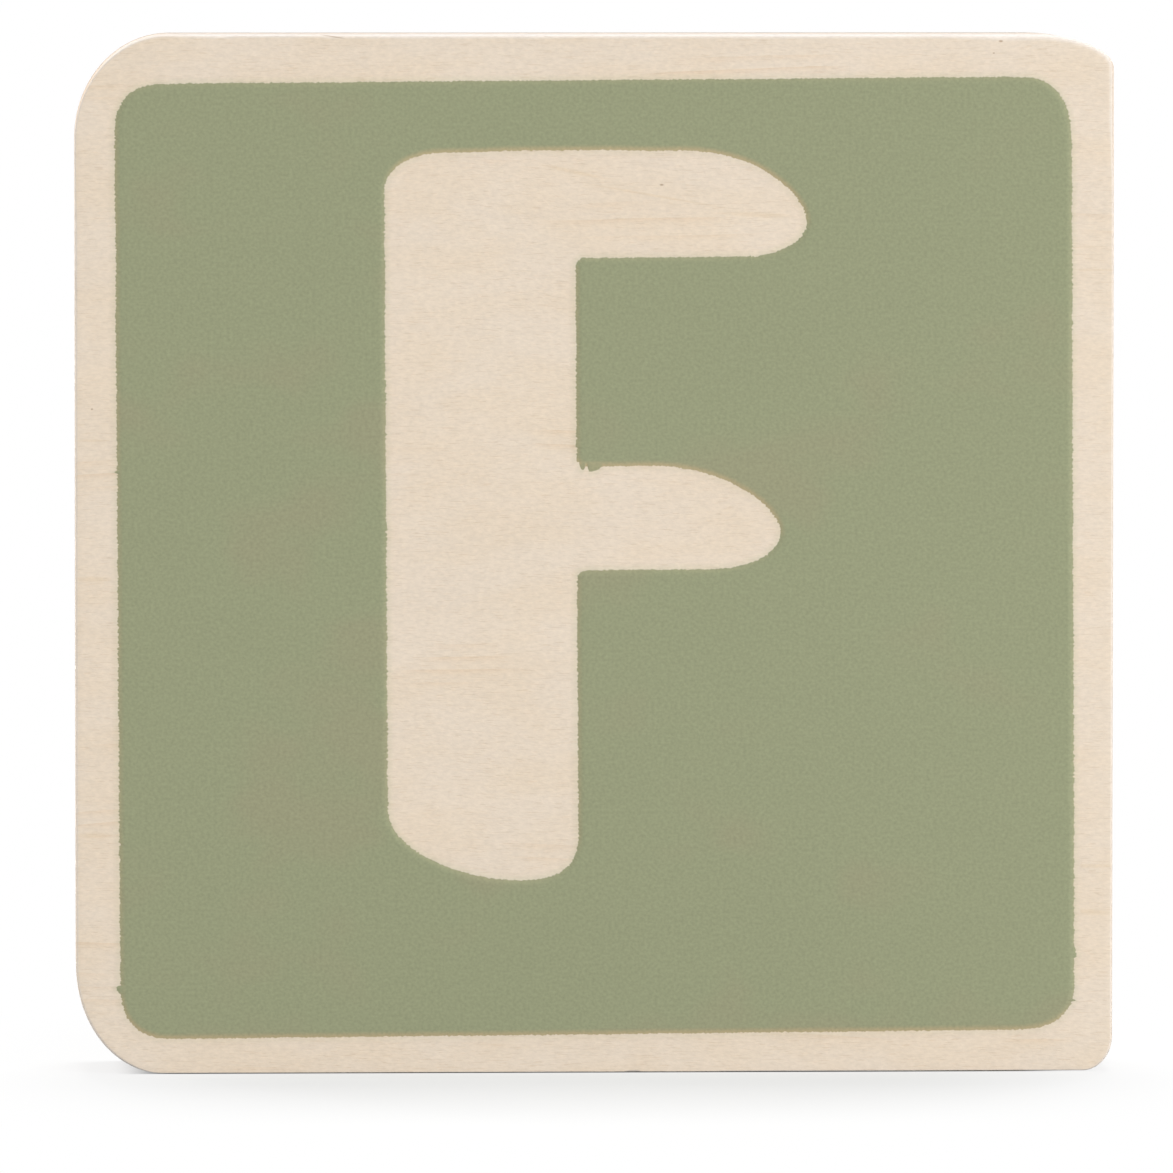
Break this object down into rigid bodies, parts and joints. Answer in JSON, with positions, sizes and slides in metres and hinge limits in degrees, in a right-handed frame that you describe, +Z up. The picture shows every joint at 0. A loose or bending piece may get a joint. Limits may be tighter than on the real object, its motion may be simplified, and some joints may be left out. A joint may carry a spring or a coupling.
{
  "type": "letter train tile",
  "caption": "Square free-standing plywood letter tile of a toy letter train, with a matte painted field on the front that leaves the letter and a narrow border as bare wood.",
  "frame": {"origin": "middle of the base edge: middle of the tile's width and of its thickness, on the face that it stands on", "axes": "+Z up the letter, +X to the right as the letter is read, -Y out of the painted front"},
  "size_m": [0.06, 0.0091, 0.06],
  "materials": {
    "birch_long_grain": "bare sanded birch veneer, grain left to right",
    "birch_cross_grain": "sanded birch ply edge, grain up and down",
    "glue": "cured resin glue line, matte",
    "sage_paint": "matte screen-printed paint film, sage green"
  },
  "bodies": {
    "root": {"painted_field": "sage_paint", "front_veneer": "birch_long_grain", "glue_line_1": "glue", "front_crossband": "birch_cross_grain", "glue_line_2": "glue", "front_inner_ply": "birch_long_grain", "glue_line_3": "glue", "core_ply": "birch_cross_grain", "glue_line_4": "glue", "back_inner_ply": "birch_long_grain", "glue_line_5": "glue", "back_crossband": "birch_cross_grain", "glue_line_6": "glue", "back_veneer": "birch_long_grain"}
  },
  "joints": []
}
